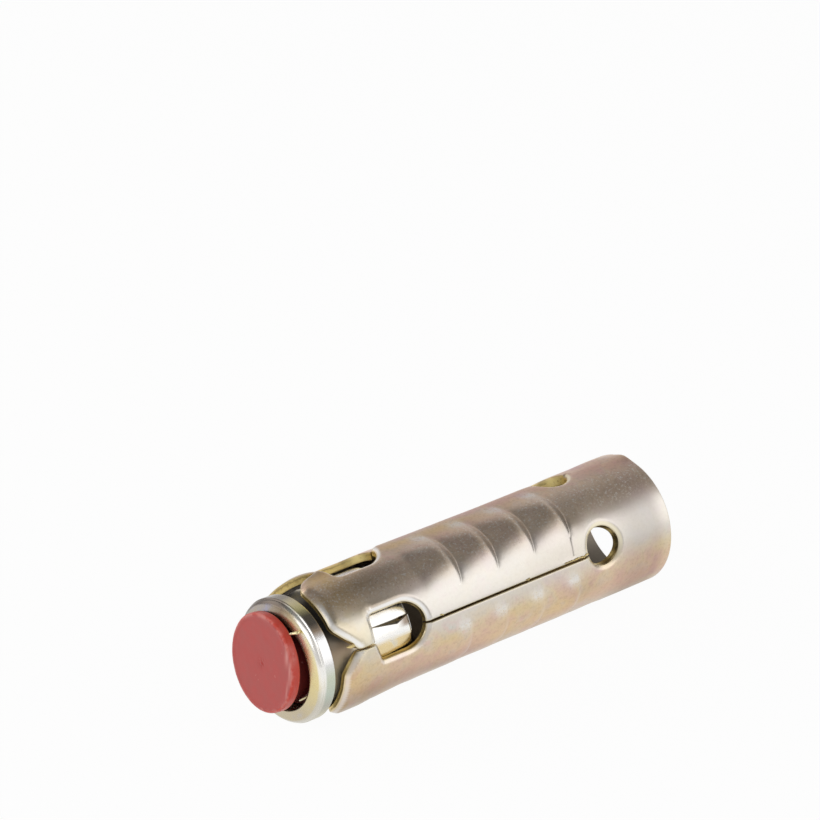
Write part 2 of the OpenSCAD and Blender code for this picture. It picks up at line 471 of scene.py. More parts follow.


# Where the film is golden or rosy, where shade is painted, and where a cut face gets a painted glint
GOLDEN = [(36, -22, 2.4, 5, 0.7), (24.5, -22, 4, 8, 0.8), (17.5, -38, 5, 11, 0.8),
          (27, -42, 3, 9, 0.7), (1.5, -12, 2, 7, 0.8), (29.5, 79, 4, 5, 1), (36, 80, 2.5, 4, 1),
          (49, 62, 3, 18, 1), (14, 12, 1.8, 9, 0.7), (43, 83, 4, 8, 0.8)]
ROSY = [(43, -42, 6, 11, 1), (7, -40, 6, 12, 0.9), (34, -47, 4, 9, 1), (20, 92, 9, 9, 1),
        (5, 80, 5, 10, 1)]
SHADE_PATCHES = [(45, 31, 3.2, 5, 0.9), (40.5, 31, 3, 4, 0.5), (14, 33, 1.8, 8, 0.9), (8.5, 31, 3.5, 6, 0.5),
        (46, 54, 4.5, 11, 0.75), (49, 87, 3, 8, 0.7), (40, 58, 3, 7, 0.5), (14, -30, 2.5, 12, 0.3),
        (45, -46, 7, 16, 0.55), (36, -52, 6, 10, 0.5), (17, 12, 7, 12, 0.25)]
GLINTS = [(8.9, 103, 1.4, 11, 1), (39.8, 105, 2, 10, 1), (50.6, -9, 1.4, 6, 1)]
print("a foot line is", round(float(foot_line(np.array(22.0), 0) - BARB_FOOT), 2), "mm deeper at its side")

# %% Spread points over the blank
RINGS = [0.05, 0.11, 0.18, 0.27, 0.38, 0.52, 0.68, 0.87]   # distances from the cuts
PAST_FEET = (-0.2, -0.06, 0.03, 0.12, 0.25, 0.4, 0.6, 0.85, 1.15)
PAST_SILLS = (-0.25, -0.1, 0.0, 0.1, 0.25)
GRID, EDGE_CLEAR = 0.5, 1.1    # spacing of the even grid, and how far it keeps off the cuts
ahead_of = after - np.roll(outline, 1, 0)
ahead_of /= np.hypot(*ahead_of.T)[:, None]
inward = np.stack([-ahead_of[:, 1], ahead_of[:, 0]], 1)
clouds = []
for offset in RINGS:
    ring = outline + offset * inward
    ring = ring[to_edges(ring) > 0.94 * offset]
    clouds.append(ring[::2] if offset > 0.5 else ring)

# Lines of points along the foot and crest of every barb, and along the sills
middles = BARB_MIDDLE + 90 * np.arange(-2, 2)[:, None]
turns = (middles + np.arange(-BARB_HALF, BARB_HALF + 0.1, 2.0)).ravel()
for row in range(BARB_COUNT):
    for past in PAST_FEET:
        scale = 1.0 if past < 0.2 else 0.3 + 0.7 * barb_strength(turns)
        clouds.append(np.stack([turns * WAY, foot_line(turns, row) + past * scale], 1))
sill = (middles + np.arange(-45.5, -24, 1.5)).ravel()
for past in PAST_SILLS:
    step_line = np.stack([sill * WAY, sill_line(across_barb(sill)) + past], 1)
    step_line = step_line[inside(step_line)]
    clouds.append(step_line[to_edges(step_line) > 0.08])

# A grid of even triangles over the rest
rows = np.arange(0.3, SLEEVE_L, GRID * math.sqrt(3) / 2)
columns = np.arange(-180 * WAY, 180 * WAY, GRID)
x, y = np.meshgrid(columns, rows)
x[1::2] += GRID / 2
grid = np.stack([x.ravel(), y.ravel()], 1)
grid = grid[inside(grid)]
grid = grid[to_edges(grid) > EDGE_CLEAR]
turn = grid[:, 0] / WAY
clear = np.ones(len(grid), bool)
for past in past_feet(turn, grid[:, 1]):
    clear &= ~((past > -0.4) & (past < 1.4) & (np.abs(across_barb(turn)) < BARB_HALF + 2))
clouds.append(grid[clear])
blank = np.concatenate([outline] + clouds)
print("the blank has", len(blank), "points")

# %% Triangulate the blank
count = len(outline)
around = [(k, (k + 1) % count) for k in range(count)]
flat, _, faces, *_ = delaunay_2d_cdt([Vector(p) for p in blank.tolist()], around, [], 1, 1e-6)
flat = np.array([tuple(p) for p in flat])
sheet = np.array([tuple(f) for f in faces])
a, b, c = flat[sheet[:, 0]], flat[sheet[:, 1]], flat[sheet[:, 2]]
side = (b[:, 0] - a[:, 0]) * (c[:, 1] - a[:, 1]) - (b[:, 1] - a[:, 1]) * (c[:, 0] - a[:, 0])
sheet[side < 0] = sheet[side < 0][:, ::-1]
assert np.allclose(flat[:count], outline, atol=1e-6)
print("the blank has", len(sheet), "triangles, and", len(flat), "points are left")

# %% [markdown]
# Rolling the blank.
# A punch rolls the sheet's outer edge over before it cuts through, which gives
# the soft bright rim round every window and hole, and a painted highlight along
# the lip adds to it. The height of the outer surface drops there as a power of
# the way to the cut, over a band that is wide at the windows and tips and narrow
# at the slits. The inner surface follows one sheet's thickness below, and a
# strip of wall joins the two along the outline.

# %% Roll the blank to a tube
ROLL_OVER = {   # width and height of the rolled edge, and how it curves
    "mouth": (0.12, 0.08, 2.0), "seam": (0.12, 0.1, 2.0), "hole": (0.68, 0.36, 1.5),
    "slit": (0.16, 0.1, 2.0), "window": (0.7, 0.4, 1.5), "tip": (0.95, 0.5, 1.5),
}
turn, depth = flat[:, 0] / WAY, flat[:, 1]
drop, lip = np.zeros_like(depth), np.zeros_like(depth)
nearest = np.full_like(depth, 9.0)
for kind, (width, height, curve) in ROLL_OVER.items():
    distance = to_edges(flat, kinds == kind)
    left = np.clip(1.0 - distance / width, 0.0, 1.0)
    drop = np.maximum(drop, height * left ** curve)
    if width > 0.4:
        lip = np.maximum(lip, left)
    if kind == "hole":
        burr = 0.32 * bell(distance / 0.3)
    nearest = np.minimum(nearest, distance)

waist = -0.1 * np.sin(np.pi * np.clip((depth - 9) / 35, 0, 1)) ** 2
flare = 0.15 * np.clip((depth - 46) / 6.5, 0, 1) ** 1.2
bump, crest = barbs(turn, depth)
uneven = 0.018 * ripple(flat[:, 0], depth, 9.0, 3) * smooth(0.0, 4.0, depth)

# The edges beyond the top slit are crisp, and the lip's painted highlight is a
# line that keeps off the cut itself
beyond = turn > SLIT_PLACE[1]
far_edge = beyond & (turn < 150)
drop[far_edge] *= 0.15
lip[far_edge] *= 0.3
lip = smooth(0.25, 0.5, lip) - 0.7 * smooth(0.75, 0.95, lip)
lip = lip * (1 - smooth(42, 56, turn) * smooth(44, 48, depth))

# The legs were bent a little: the one beyond the top slit stands lower and
# the one before it higher, and the lowest bulges where the nut rests
at_top = band(9, 16, 45.5, 49, depth)
fading = 1 - smooth(112, 160, turn)
far_leg = -(0.40 - 0.18 * smooth(33, 38, depth)) * beyond * fading * at_top
far_leg = far_leg - 0.1 * smooth(2, 6, depth) * smooth(80, 94, turn) * fading
far_leg = far_leg - 0.45 * smooth(47.5, 52.0, depth) * beyond * (1 - smooth(150, 178, turn))
near_leg = (0.3 + 0.16 * smooth(40, 44, depth)) * smooth(70, 91, turn) * ~beyond * at_top
low_leg = 0.3 * bell((depth - 47.5) / 4.8) * smooth(-35, -60, turn) * smooth(-98, -82, turn)
mouth_corner = 0.24 * bell((turn - 78) / 8, depth / 1.4)
form = waist + flare + uneven + far_leg + near_leg + low_leg + mouth_corner
outer = SLEEVE_R + form + bump + press_marks(turn, depth) - drop
inner = SLEEVE_R - SHEET + form + 0.8 * bump - burr

WALL_ROWS = np.array([0.12, 0.3, 0.55, 0.8])   # shares of the sheet's thickness
edge_out, edge_in = outer[:count], inner[:count]
wall_r = edge_out + (edge_in - edge_out) * WALL_ROWS[:, None]
wall = lay(turn[:count], depth[:count], wall_r).reshape(-1, 3)
print("the sleeve's radius runs from", round(inner.min(), 2), "to", round(outer.max(), 2), "mm")

# %% Burrs, as small tapered slivers of metal
def sliver(path, wide, thick, sides=8):
    """A flat pointed tube: an ellipse carried along a smoothed path in mm and
    shrunk towards both ends. The end points close it."""
    path = np.asarray(path, float)
    t = np.linspace(0, 1, 17)
    knots = np.linspace(0, 1, len(path))
    line = np.stack([np.interp(t, knots, path[:, k]) for k in range(3)], 1)
    for _ in range(2):
        line[1:-1] = (line[:-2] + 2 * line[1:-1] + line[2:]) / 4
    ahead_of = np.gradient(line, axis=0)
    ahead_of /= np.linalg.norm(ahead_of, axis=1)[:, None]
    across = np.cross(ahead_of, [0.3, -0.8, 0.5])
    across /= np.linalg.norm(across, axis=1)[:, None]
    up = np.cross(across, ahead_of)
    swell = np.sqrt(np.clip(1 - (2 * t - 0.7) ** 2 / 1.7, 0, 1))[:, None, None]
    a = np.linspace(0, 2 * math.pi, sides, endpoint=False)[None, :, None]
    ring = line[:, None] + swell * (wide * np.cos(a) * across[:, None] + thick * np.sin(a) * up[:, None])
    points = np.concatenate([ring.reshape(-1, 3), line[:1], line[-1:]])
    return points * MM, closed_tube(len(line), sides)


def joined(points, faces, extras):
    """Adds further shells to a piece's points and faces."""
    for more, more_faces in extras:
        first = len(points)
        points = np.concatenate([points, more])
        faces = faces + [[first + k for k in f] for f in more_faces]
    return points, faces


def route(*places):
    """A path in mm through places given as turn, depth and radius."""
    return lay(*np.array(places).T) / MM


FANG = [(5.2, 49.7, 7.7), (5.7, 50.2, 7.85), (6.3, 50.6, 7.95), (7.0, 51.0, 7.95)]
BURR_DEPTHS = (13.9, 14.4, 14.8, 15.4, 15.8, 16.3, 16.7, 17.2, 23.4, 36.9)
BURR_SHAPE = ((-0.28, -0.05), (0, 0.06), (0.3, -0.04))   # along the slit, and out
slivers = [sliver(route(*FANG), 0.2, 0.16)]
rng = np.random.default_rng(4)
for place in BURR_DEPTHS:
    high = 1.15 + rng.uniform(-0.2, 0.5)
    path = route(*[(high + rng.uniform(-0.3, 1.2), place + s, SLEEVE_R + r) for s, r in BURR_SHAPE])
    slivers.append(sliver(path, rng.uniform(0.05, 0.12), 0.06))
print("the sleeve has", len(slivers), "burrs")

# %% Close the sleeve's wall
total = len(flat)
lines = np.concatenate([
    np.arange(count)[None], 2 * total + np.arange(len(wall)).reshape(-1, count),
    total + np.arange(count)[None]])   # the outline, the wall's rows and the inner outline
strips = []
for upper, lower in zip(lines[:-1], lines[1:]):
    strips += np.stack([lower, np.roll(lower, -1), np.roll(upper, -1), upper], 1).tolist()
faces = sheet.tolist() + (sheet[:, ::-1] + total).tolist() + strips
points = np.concatenate([lay(turn, depth, outer), lay(turn, depth, inner), wall])
points, faces = joined(points, faces, slivers)


def on_wall(numbers):
    """The outline's own numbers, again for each row of the wall."""
    return np.tile(numbers[:count], len(WALL_ROWS))


# For the outer skin, the inner skin, the wall and the burrs
values = {
    "cut": (0, np.arange(total) < count, np.repeat([0.7, 1.0, 1.0, 1.0], count), 0.9),
    "rim": (np.exp(-nearest / 0.35), 0, 1),
    "crest": (crest * barb_strength(turn) ** 0.3,),
    "within": (0, 1),
    "turn": (turn, turn, on_wall(turn)),
    "depth": (depth, depth, on_wall(depth), 30.0),
    # Painted highlights: the round spots beside the barbs, and the lip beside the cuts
    "spot": (highlight_spots(turn, depth),),
    "lip": (lip,),
    "glint": (0, 0, on_wall(patches(turn, depth, GLINTS))),
    "layer": (0, 1, np.repeat(WALL_ROWS, count), 0.9),
}
for key, places in {"golden": GOLDEN, "rosy": ROSY, "dull": SHADE_PATCHES}.items():
    values[key] = (patches(turn, depth, places),)
sleeve = make_piece("sleeve", points, faces, [total, total, len(wall)], values)
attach(sleeve, "root")
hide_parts("expansion_sleeve")

# %% [markdown]
# The cone nut.
# The real nut is forged and turned: a collar, a cone, and four ribs that sit
# beside the slits and keep it from turning. It carries the thread. A turned
# piece is a profile carried round the axis, so it is one grid of angle and
# place along the profile. The ribs and the thread are changes of the radius
# that depend on both. A Screw modifier would make the plain turned shape, but
# the thread would need a Boolean, which leaves ragged faces.

# %% Profile of the nut
def rounded(corners, step):
    """A closed line through corners given as depth, radius and rounding. Each
    rounding is a curve that leaves one side and reaches the next smoothly."""
    corners = np.asarray(corners, float)
    parts = []
    for k in range(len(corners)):
        here, cut = corners[k, :2], corners[k, 2]
        before, following = corners[k - 1, :2], corners[(k + 1) % len(corners), :2]
        start = here + (before - here) / np.linalg.norm(before - here) * cut
        end = here + (following - here) / np.linalg.norm(following - here) * cut
        t = np.linspace(0, 1, 7)[:, None]
        parts.append((1 - t) ** 2 * start + 2 * t * (1 - t) * here + t ** 2 * end)
    line = []
    for part, following in zip(parts, parts[1:] + parts[:1]):
        line += [part, spaced([part[-1], following[0]], step)[1:-1]]
    return np.concatenate(line)


NUT_FACE, NUT_END = 55.2, 40.4    # depths of the collar's face and the cone's end
NUT_CORNERS = [
    (NUT_END, 4.85, 0.08), (NUT_END, 6.15, 0.1), (NUT_END + 0.25, 6.4, 0.1),
    (46.3, 6.83, 0.3), (49.3, 6.9, 0.3), (50.1, 6.4, 0.4), (52.3, 6.3, 0.4), (52.85, 7.4, 0.12),
    (54.22, 7.4, 0.06), (54.36, 7.24, 0.03), (54.46, 7.3, 0.08), (54.88, 7.02, 0.3),
    (NUT_FACE + 0.08, 5.68, 0.14),
    (NUT_FACE - 0.5, 5.4, 0.1), (51.5, 5.3, 0.06),
    (50.9, 4.25, 0.06), (NUT_END + 0.6, 4.25, 0.06),
]
profile = rounded(NUT_CORNERS, 0.13)
print("the nut's profile has", len(profile), "points")

# %% Turn the nut
# A rib's half width and how far it is from the slit, in degrees, its radius,
# and the depth of its end
RIB_HALF, RIB_SHIFT, RIB_R, RIB_END = 5.7, 11.2, 6.9, 40.45
RIB_TAPER = 46.2       # depth from which a rib's long side narrows
SIDE_R = 6.0           # all that lies further out than this is the nut's outside
THREAD_R, THREAD_DEEP, THREAD_PITCH = 4.25, 0.72, 1.5
# How far the nut hangs off the axis, towards which turn, and the room inside
ROOM_R, HANG_BY, HANG_TURN = 6.96, 0.47, -70.0
steep = np.array([-0.6, -0.4, -0.2, -0.05, 0.1, 0.3]) - RIB_HALF
flank = np.concatenate([steep - 7.0, np.arange(-1.0, 7.0, 0.5)])
edges = [90 * k + RIB_SHIFT + flank for k in range(4)] + [90 + RIB_SHIFT + steep - 13.0]
angles = np.sort(np.concatenate([np.arange(0, 360, 2.0)] + edges) % 360)
angles = angles[np.concatenate([[True], np.diff(angles) > 0.05])]


def from_rib(angle):
    """Degrees from the middle of the nearest rib."""
    return (angle - RIB_SHIFT + 45) % 90 - 45


def flank_foot(deep):
    """Where a rib's long side starts, in degrees from the rib's middle. It
    moves away from the rib's edge along the taper, then back at the end."""
    away = np.clip((RIB_TAPER - deep) / 3.5, 0, 1)
    back = np.clip((42.6 - deep) / 1.6, 0, 1)
    return RIB_HALF + 0.2 - 5.4 * away + 5.4 * back


def nut_radius(angle, deep, radius):
    """Radius of the nut's surface. On the cone a rib lifts it to its own radius
    where the angle is near the rib's, with one steep side and one long side.
    The top rib is broader. All of it stays inside the sleeve's own radius,
    less the way the nut hangs times the cosine of the angle from there. In
    the bore the thread's groove widens it by a clipped triangle wave of the
    depth over the pitch less the turn."""
    top = np.abs(angle - 90 - RIB_SHIFT) < 30
    rib = RIB_R - 0.6 * (1 - np.clip((deep - RIB_END) / 0.8, 0, 1)) ** 2
    on_cone = (radius > SIDE_R) & (deep < 49.4)
    steep_side = -RIB_HALF - 7.0 - 6.0 * top
    lift = band(steep_side - 0.35, steep_side + 0.25, flank_foot(deep) - 0.6, RIB_HALF + 0.4,
                from_rib(angle))
    radius = radius + on_cone * np.maximum(rib - radius, 0) * lift
    room = ROOM_R - HANG_BY * np.cos(np.radians(angle - HANG_TURN))
    radius = np.where(on_cone, np.minimum(radius, room), radius)
    wave = np.abs((deep / THREAD_PITCH - angle / 360) % 1 - 0.5) * 2
    groove = np.clip((wave - 0.14) / 0.68, 0, 1)
    fade = band(NUT_END + 0.55, NUT_END + 1.0, 50.3, 50.9, deep)
    return radius + (np.abs(radius - THREAD_R) < 0.02) * THREAD_DEEP * groove * fade


at, plain = profile[:, :1], profile[:, 1:]
turned = nut_radius(angles[None], at, plain)
uneven = 0.012 * ripple(angles[None] / 8, at, 3.0, 5)
points = lay(angles[None], at, turned + uneven).reshape(-1, 3)
nut_faces = quads(len(profile), len(angles), wrap_rows=True)
print("the nut's collar is", round(2 * float(turned.max()), 2), "mm across")

# %% Hang the nut and join its burrs
# In metres. The nut leans about its collar, and moves to the front and down.
HANG_LEAN = Matrix.Rotation(math.radians(0.3), 4, "Y")
TO_COLLAR = Matrix.Translation((0.054, 0.0, 0.0))
HANG = Matrix.Translation((-0.054, -0.00027, -0.00038)) @ HANG_LEAN @ TO_COLLAR


def hung(points):
    """The loose nut hangs a little low in the sleeve, and its collar looks up."""
    turned_to = np.array(HANG)
    return points @ turned_to[:3, :3].T + turned_to[:3, 3]


CURL = [(40.0, 55.0, 6.6), (39.0, 55.4, 6.8), (41.0, 55.8, 6.5), (43.5, 56.1, 6.05)]
CHIP = [(-48, 55.6, 5.2), (-45, 55.45, 5.3), (-42, 55.2, 5.4), (-39, 54.9, 5.5)]
burrs = [sliver(route(*CURL), 0.2, 0.16), sliver(route(*CHIP), 0.13, 0.08)]
points, nut_faces = joined(points, nut_faces, burrs)

# For the turned shape and the two burrs: where its parts are, the painted
# shade on each rib's long side, a brown band at its end, and the painted
# highlight spot under the top window
off = from_rib(angles[None])
side = plain > SIDE_R
wedge = band(flank_foot(at) - 0.5, flank_foot(at) + 0.3, RIB_HALF - 0.4, RIB_HALF + 0.5, off)
values = {
    "neck": band(49.0, 49.8, 52.6, 52.95, at) * side,
    "turn": (angles[None] + 180) % 360 - 180,
    "front": smooth(54.55, 54.85, at) * (plain > 5.5),
    "hollow": plain < 5.45,
    "collar": band(52.6, 52.9, 54.2, 54.3, at) * side,
    "ridge": smooth(54.12, 54.2, at) * smooth(6.85, 6.98, plain),
    "cone": (1 - smooth(49.0, 49.6, at)) * side,
    "wedge": wedge * (at < RIB_TAPER) * side,
    "brown": bell((at - 41.3) / 0.9) * band(-6, -2, 5, 7, off) * side,
    "lens": bell((at - 42.8) / 1.6, (angles[None] - 89) / 6) * side,
}
on_burrs = {"front": 1, "hollow": np.repeat([0.0, 0.5], [len(more) for more, _ in burrs])}
values = {key: (np.broadcast_to(number, turned.shape).ravel(), on_burrs.get(key, 0))
          for key, number in values.items()}
nut = make_piece("nut", hung(points), nut_faces, [turned.size], values, sharp=40)
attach(nut, "root")
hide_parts("cone_nut")

# %% [markdown]
# The dust plug.
# The real one is moulded in red plastic: a disc with a short hollow stem that
# grips the nut's recess. It was pressed in by hand, so the disc leans back. Its
# face has the mark of the gate, where the plastic entered the mould. Both parts
# are turned shapes, as the nut is, and the disc is tilted as a whole.

# %% Turn a shape with closed poles
def revolve(line, sides):
    """Points of a profile (distance along the axis, radius) carried round an
    axis, and its faces. Both ends of the profile lie on the axis."""
    a = np.linspace(0, 2 * math.pi, sides, endpoint=False)[None]
    along, radius = line[1:-1, :1], line[1:-1, 1:]
    ring = np.stack(np.broadcast_arrays(along, radius * np.cos(a), radius * np.sin(a)), -1)
    ends = [[line[0, 0], 0, 0], [line[-1, 0], 0, 0]]
    return np.concatenate([ring.reshape(-1, 3), ends]), closed_tube(len(line) - 2, sides)


# %% The disc and its gate mark
DISC_R, DISC_T, DISC_ROUND = 5.80, 1.2, 0.3   # radius, thickness, rounding
DISC_BACK = 55.85      # depth of the middle of its back
flat_r = DISC_R - DISC_ROUND
disc, disc_faces = revolve(np.concatenate([
    spaced([[0, 0], [0, flat_r]], 0.4),
    arc((DISC_ROUND, flat_r), DISC_ROUND, 180, 90, 0.06)[1:],
    arc((DISC_T - DISC_ROUND, flat_r), DISC_ROUND, 90, 0, 0.06),
    spaced([[DISC_T, flat_r], [DISC_T, 0]], 0.1)[1:],
]), 144)
far = np.hypot(disc[:, 1], disc[:, 2])
front = disc[:, 0] > DISC_T / 2
a = np.arctan2(disc[:, 2], disc[:, 1])
gate = bell(far / 0.6) * (1 + 0.7 * ripple(disc[:, 1], disc[:, 2], 0.5, 8))
nub = np.exp(-((disc[:, 1] - 0.1) ** 2 + (disc[:, 2] + 0.12) ** 2) / 0.05)   # the gate's stump
raised_rim = 0.03 * bell((far - DISC_R + 0.45) / 0.22)
waves = 0.006 * ripple(disc[:, 1], disc[:, 2], 1.6, 9)
disc[:, 0] += front * (raised_rim - 0.05 * gate + 0.05 * nub + waves)
swell = 1 + 0.0035 * ripple(3 * np.cos(a), 3 * np.sin(a), 2.5, 10) * (far > DISC_R - 1)
disc[:, 1:] *= swell[:, None]
print("the disc is", round(2 * far.max(), 2), "mm across")

# %% Tilt the disc, add the stem
lean, yaw = math.radians(5.5), math.radians(3.4)
out = np.array([-math.cos(lean) * math.cos(yaw), math.cos(lean) * math.sin(yaw), math.sin(lean)])
across = np.array([math.sin(yaw), math.cos(yaw), 0.0])
up = np.cross(across, out)
back = np.array([-DISC_BACK - 0.05, 0.08, 0.03])
placed = back + disc[:, :1] * out + disc[:, 1:2] * across + disc[:, 2:] * up
disc_faces = [face[::-1] for face in disc_faces]
STEM = [(51.9, 3.8, 0.05), (51.9, 4.8, 0.1), (52.9, 4.8, 0.05), (53.2, 5.3, 0.1),
        (53.6, 5.3, 0.1), (53.9, 4.6, 0.05), (56.2, 4.6, 0.02), (56.2, 3.8, 0.02)]
stem_line = rounded(STEM, 0.3)
stem_angles = np.arange(0, 360, 3.0)
stem = lay(stem_angles, stem_line[:, :1], stem_line[:, 1:]).reshape(-1, 3)
stem_faces = quads(len(stem_line), len(stem_angles), wrap_rows=True)
points, faces = joined(placed * MM, disc_faces, [(hung(stem), stem_faces)])
# Painted highlights near the face's edge, as places across and up the disc
FACE_HIGHLIGHTS = [(-4.5, 2.6, 0.32, 1.0, 1), (-5.2, 1.2, 0.2, 1.6, 0.8), (-4.9, -1.6, 0.16, 1.2, 0.6),
        (0.8, 5.5, 0.9, 0.2, 0.6)]
plug = make_piece("plug", points, faces, [len(disc)], {
    "face": (front * (far < DISC_R - 0.25),),
    "gate": (front * gate,),
    "pale": (front * patches(disc[:, 2], disc[:, 1], FACE_HIGHLIGHTS),),
    "scuff": (front * bell((far - DISC_R + 0.22) / 0.2),),
    "stem": (disc[:, 0] < 0.15, 1),
})
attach(plug, "root")
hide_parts("dust_plug")

# %% Check that faces point outwards
# A closed shell whose faces point inwards would enclose less than nothing
for piece in (sleeve, nut, plug):
    shell = bmesh.new()
    shell.from_mesh(piece.data)
    print(piece.name, "encloses", round(shell.calc_volume(signed=True) / MM ** 3, 1), "cubic mm")
    shell.free()

# %% [markdown]
# Shader maths.
# A material is a graph of nodes, and its sums are easier to read as ordinary
# arithmetic. The small class below wraps one output of a node, so that writing
# a * b adds the Math node that does it. Every other node comes from one method.

# %% Wrap sockets
class Number:
    """An output socket that takes part in Python's arithmetic."""

    def __init__(self, finish, socket):
        self.finish, self.socket = finish, socket

    def _with(self, operation, first, second):
        return self.finish.node("ShaderNodeMath", {"operation": operation}, {0: first, 1: second})

    def __add__(self, other):
        return self._with("ADD", self, other)

    __radd__ = __add__

    def __sub__(self, other):
        return self._with("SUBTRACT", self, other)

    def __rsub__(self, other):
        return self._with("SUBTRACT", other, self)

    def __mul__(self, other):
        return self._with("MULTIPLY", self, other)

    __rmul__ = __mul__


class Finish:
    """The nodes of one material, or of the world, and the colour so far."""

    def __init__(self, owner):
        self.owner, self.tone = owner, None
        owner.use_nodes = True
        self.tree = owner.node_tree
        self.tree.nodes.clear()

    def node(self, kind, settings=None, values=None, out=0):
        """Adds a node. Settings such as an operation or a ramp's stops, each a
        place and a colour, come first. Then each socket gets its value or link."""
        made = self.tree.nodes.new(kind)
        for key, value in (settings or {}).items():
            if key == "stops":
                ramp = made.color_ramp.elements
                while len(ramp) < len(value):
                    ramp.new(1.0)
                for stop, (place, *tint) in zip(ramp, value):
                    stop.position, stop.color = place, (*tint, 1.0)
            else:
                setattr(made, key, value)
        for key, value in (values or {}).items():
            if isinstance(value, Number):
                self.tree.links.new(value.socket, made.inputs[key])
            else:
                made.inputs[key].default_value = value
        return Number(self, made.outputs[out])

    def attribute(self, name):
        """The numbers stored on the piece's points under a name."""
        return self.node("ShaderNodeAttribute", {"attribute_name": name}, out="Fac")

    def place(self, scale=(1, 1, 1), turn=(0, 0, 0), move=(0, 0, 0)):
        """The point on the object, moved, turned and scaled."""
        spot = self.node("ShaderNodeTexCoord", out="Object")
        return self.node("ShaderNodeMapping", {"vector_type": "POINT"}, {
            "Vector": spot, "Location": move, "Rotation": turn, "Scale": scale})

    def noise(self, size, detail=2.0, rough=0.5, twist=0.0, at=None):
        """Noise whose patches are about size mm across."""
        return self.node("ShaderNodeTexNoise", None, {
            "Vector": at or self.place(), "Scale": 1.0 / (size * MM), "Detail": detail,
            "Roughness": rough, "Distortion": twist}, out="Fac")

    def between(self, value, low, high):
        """0 below low and 1 above high, smooth between."""
        return self.node("ShaderNodeMapRange", {"interpolation_type": "SMOOTHSTEP"}, {
            "Value": value, "From Min": low, "From Max": high}, out="Result")

    def band(self, value, low, high, start, end):
        """0 below low, 1 from high to start, and 0 above end."""
        return self.between(value, low, high) * (1 - self.between(value, start, end))

    def blend(self, first, second, share, kind="MIX"):
        """One colour towards another by a share."""
        return self.node("ShaderNodeMix", {"data_type": "RGBA", "blend_type": kind}, {
            0: share, 6: colour(first), 7: colour(second)}, out=2)

    def coat(self, tint, share):
        """Lays a tint over the colour so far, by a share."""
        self.tone = self.blend(self.tone, tint, share)

    def shade(self, tint, share=1.0):
        """Multiplies the colour so far by a tint, by a share."""
        self.tone = self.blend(self.tone, tint, share, "MULTIPLY")

    def ramp(self, value, stops):
        """The colour that the stops give for a value."""
        return self.node("ShaderNodeValToRGB", {"stops": stops}, {"Fac": value}, out="Color")

    def bump(self, height, distance, strength):
        """Normal of a height in mm."""
        return self.node("ShaderNodeBump", None, {
            "Height": height, "Distance": distance * MM, "Strength": strength}, out="Normal")

    def close(self, shader, kind="ShaderNodeOutputMaterial"):
        """Makes a shader the material's or the world's output."""
        end = self.tree.nodes.new(kind)
        self.tree.links.new(shader.socket, end.inputs["Surface"])

    def cover(self, piece, values):
        """Puts the colour so far on a piece, as a Principled surface."""
        self.close(self.node("ShaderNodeBsdfPrincipled", None, {"Base Color": self.tone, **values}))
        piece.data.materials.append(self.owner)
        print(self.owner.name, "has", len(self.tree.nodes), "nodes")


def colour(value):
    """A colour for a socket: a wrapped socket as it is, three numbers with a
    fourth for full cover."""
    return value if isinstance(value, Number) else (*value, 1.0)


print("the arithmetic covers sums, differences and products")

# %% [markdown]
# Plated steel.
# The sleeve and nut are zinc plated and passivated, which leaves a thin clear
# film. Where the film is a little thicker or thinner, it shines yellow, pink
# or pale green. Under it is satin metal with a fine grain and small scratches.
# The colour could come from a thin-film setting, but that cannot be kept in an
# exported model, so soft patches of noise choose between the film's colours.

# %% Yellow zinc finish
def plated(name, tints, size):
    """Metal whose colour wanders through the tints in patches of about size mm,
    by a share of two noises. Returns the finish and that share."""
    f = Finish(bpy.data.materials.new(name))
    drift = f.noise(size, 3, 0.55, 0.6)
    fine = f.noise(size * 0.28, 3, 0.6, 0.3, f.place(move=(0.031, 0.007, 0.013)))
    share = drift * 0.72 + fine * 0.28
    f.tone = f.ramp(share, tints)
    return f, share


f, _ = plated("sleeve_zinc", [
    (0.36, 0.7, 0.51, 0.46), (0.44, 0.76, 0.58, 0.45), (0.5, 0.78, 0.64, 0.45),
    (0.56, 0.74, 0.64, 0.51), (0.61, 0.76, 0.58, 0.5), (0.68, 0.7, 0.69, 0.62)], 7)
cut_face, rim, within, around, deep = (
    f.attribute(k) for k in ("cut", "rim", "within", "turn", "depth"))
speck = f.noise(0.22, 2, 0.6)
scratch = f.noise(0.35, 2, 0.5, 0, f.place(scale=(0.12, 1, 1), turn=(0, 0, 0.5)))

# Rosy and golden patches. A painted highlight band whitens the metal beside the
# front slit, and a painted reflection tint colours the dark band above it
ragged = f.between(f.noise(1.6, 4, 0.65, 0.4), 0.28, 0.5)
f.coat((0.72, 0.5, 0.42), f.attribute("rosy") * ragged * 0.7)
f.coat((0.8, 0.65, 0.35), f.attribute("golden") * ragged * 0.8)
highlight_band = f.band(around, -22, 4, 26, 46)
dark_reflection_band = f.band(around, 28, 44, 58, 74)
f.coat((0.8, 0.69, 0.55), dark_reflection_band * 0.7)
f.coat((0.76, 0.745, 0.72), highlight_band * 0.78)
# Painted shade and tint by the turn: darker on the lower side, pinker on the upper side
f.shade(f.ramp((around + 60) * (1 / 160), [
    (0, 0.72, 0.66, 0.6), (0.13, 0.88, 0.79, 0.74), (0.28, 0.93, 0.92, 0.91),
    (0.43, 0.93, 0.93, 0.91), (0.5, 1, 1, 1), (0.62, 1, 0.95, 0.93),
    (0.85, 1, 0.91, 0.94), (1, 1, 0.9, 0.94)]))

